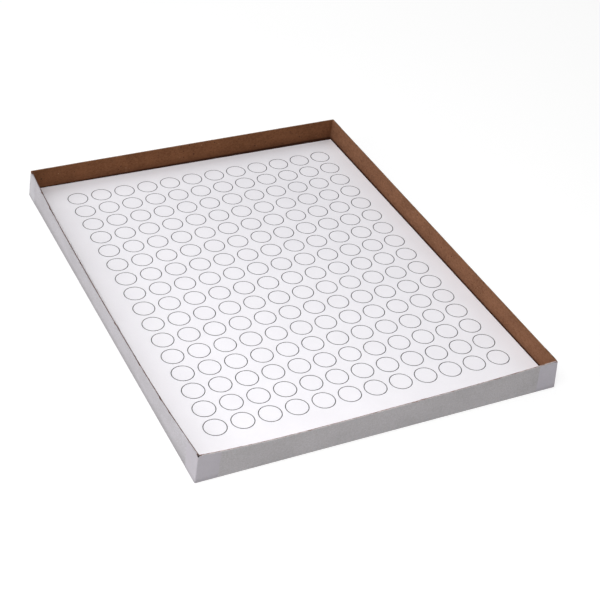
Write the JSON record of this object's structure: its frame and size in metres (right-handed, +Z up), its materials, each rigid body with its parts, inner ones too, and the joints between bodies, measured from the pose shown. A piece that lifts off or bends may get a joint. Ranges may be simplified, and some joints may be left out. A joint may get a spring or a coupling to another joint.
{
  "type": "tray of label sheets",
  "caption": "Shallow open board tray with paper corner stays, holding a stack of loose die-cut sheets of round labels for freezer vials.",
  "frame": {"origin": "on the table, under the centre of the tray's outline", "axes": "+X along the short front wall, to the right; +Y from the front wall to the back wall, along the long side; +Z up out of the open tray"},
  "size_m": [0.2278, 0.2948, 0.0191],
  "materials": {
    "tray_board": "rough brown recycled board with fine specks",
    "white_facing": "smooth uncoated white facing paper",
    "stay_paper": "white gummed paper tape",
    "release_backing": "calendered silicone release paper",
    "label_face": "matt white printable label stock, die-cut into circles"
  },
  "bodies": {
    "tray": {"base_board": "tray_board", "base_facing": "white_facing", "front_board": "tray_board", "front_facing": "white_facing", "back_board": "tray_board", "back_facing": "white_facing", "left_board": "tray_board", "left_facing": "white_facing", "right_board": "tray_board", "right_facing": "white_facing", "corner_stay_front_left": "stay_paper", "corner_stay_front_right": "stay_paper", "corner_stay_back_left": "stay_paper", "corner_stay_back_right": "stay_paper"},
    "sheet_01": {"sheet_01_backing": "release_backing", "sheet_01_face": "label_face"},
    "sheet_02": {"sheet_02_backing": "release_backing", "sheet_02_face": "label_face"},
    "sheet_03": {"sheet_03_backing": "release_backing", "sheet_03_face": "label_face"},
    "sheet_04": {"sheet_04_backing": "release_backing", "sheet_04_face": "label_face"},
    "sheet_05": {"sheet_05_backing": "release_backing", "sheet_05_face": "label_face"},
    "sheet_06": {"sheet_06_backing": "release_backing", "sheet_06_face": "label_face"},
    "sheet_07": {"sheet_07_backing": "release_backing", "sheet_07_face": "label_face"},
    "sheet_08": {"sheet_08_backing": "release_backing", "sheet_08_face": "label_face"},
    "sheet_09": {"sheet_09_backing": "release_backing", "sheet_09_face": "label_face"},
    "sheet_10": {"sheet_10_backing": "release_backing", "sheet_10_face": "label_face"},
    "sheet_11": {"sheet_11_backing": "release_backing", "sheet_11_face": "label_face"},
    "sheet_12": {"sheet_12_backing": "release_backing", "sheet_12_face": "label_face"},
    "sheet_13": {"sheet_13_backing": "release_backing", "sheet_13_face": "label_face"},
    "sheet_14": {"sheet_14_backing": "release_backing", "sheet_14_face": "label_face"},
    "sheet_15": {"sheet_15_backing": "release_backing", "sheet_15_face": "label_face"},
    "sheet_16": {"sheet_16_backing": "release_backing", "sheet_16_face": "label_face"}
  },
  "joints": [
    {"name": "sheet_01_lift", "type": "slide", "parent": "tray", "child": "sheet_01", "axis": [0, 0, 1], "range_m": [0, 0.02]},
    {"name": "sheet_02_lift", "type": "slide", "parent": "sheet_01", "child": "sheet_02", "axis": [0, 0, 1], "range_m": [0, 0.02]},
    {"name": "sheet_03_lift", "type": "slide", "parent": "sheet_02", "child": "sheet_03", "axis": [0, 0, 1], "range_m": [0, 0.02]},
    {"name": "sheet_04_lift", "type": "slide", "parent": "sheet_03", "child": "sheet_04", "axis": [0, 0, 1], "range_m": [0, 0.02]},
    {"name": "sheet_05_lift", "type": "slide", "parent": "sheet_04", "child": "sheet_05", "axis": [0, 0, 1], "range_m": [0, 0.02]},
    {"name": "sheet_06_lift", "type": "slide", "parent": "sheet_05", "child": "sheet_06", "axis": [0, 0, 1], "range_m": [0, 0.02]},
    {"name": "sheet_07_lift", "type": "slide", "parent": "sheet_06", "child": "sheet_07", "axis": [0, 0, 1], "range_m": [0, 0.02]},
    {"name": "sheet_08_lift", "type": "slide", "parent": "sheet_07", "child": "sheet_08", "axis": [0, 0, 1], "range_m": [0, 0.02]},
    {"name": "sheet_09_lift", "type": "slide", "parent": "sheet_08", "child": "sheet_09", "axis": [0, 0, 1], "range_m": [0, 0.02]},
    {"name": "sheet_10_lift", "type": "slide", "parent": "sheet_09", "child": "sheet_10", "axis": [0, 0, 1], "range_m": [0, 0.02]},
    {"name": "sheet_11_lift", "type": "slide", "parent": "sheet_10", "child": "sheet_11", "axis": [0, 0, 1], "range_m": [0, 0.02]},
    {"name": "sheet_12_lift", "type": "slide", "parent": "sheet_11", "child": "sheet_12", "axis": [0, 0, 1], "range_m": [0, 0.02]},
    {"name": "sheet_13_lift", "type": "slide", "parent": "sheet_12", "child": "sheet_13", "axis": [0, 0, 1], "range_m": [0, 0.02]},
    {"name": "sheet_14_lift", "type": "slide", "parent": "sheet_13", "child": "sheet_14", "axis": [0, 0, 1], "range_m": [0, 0.02]},
    {"name": "sheet_15_lift", "type": "slide", "parent": "sheet_14", "child": "sheet_15", "axis": [0, 0, 1], "range_m": [0, 0.02]},
    {"name": "sheet_16_lift", "type": "slide", "parent": "sheet_15", "child": "sheet_16", "axis": [0, 0, 1], "range_m": [0, 0.02]}
  ]
}
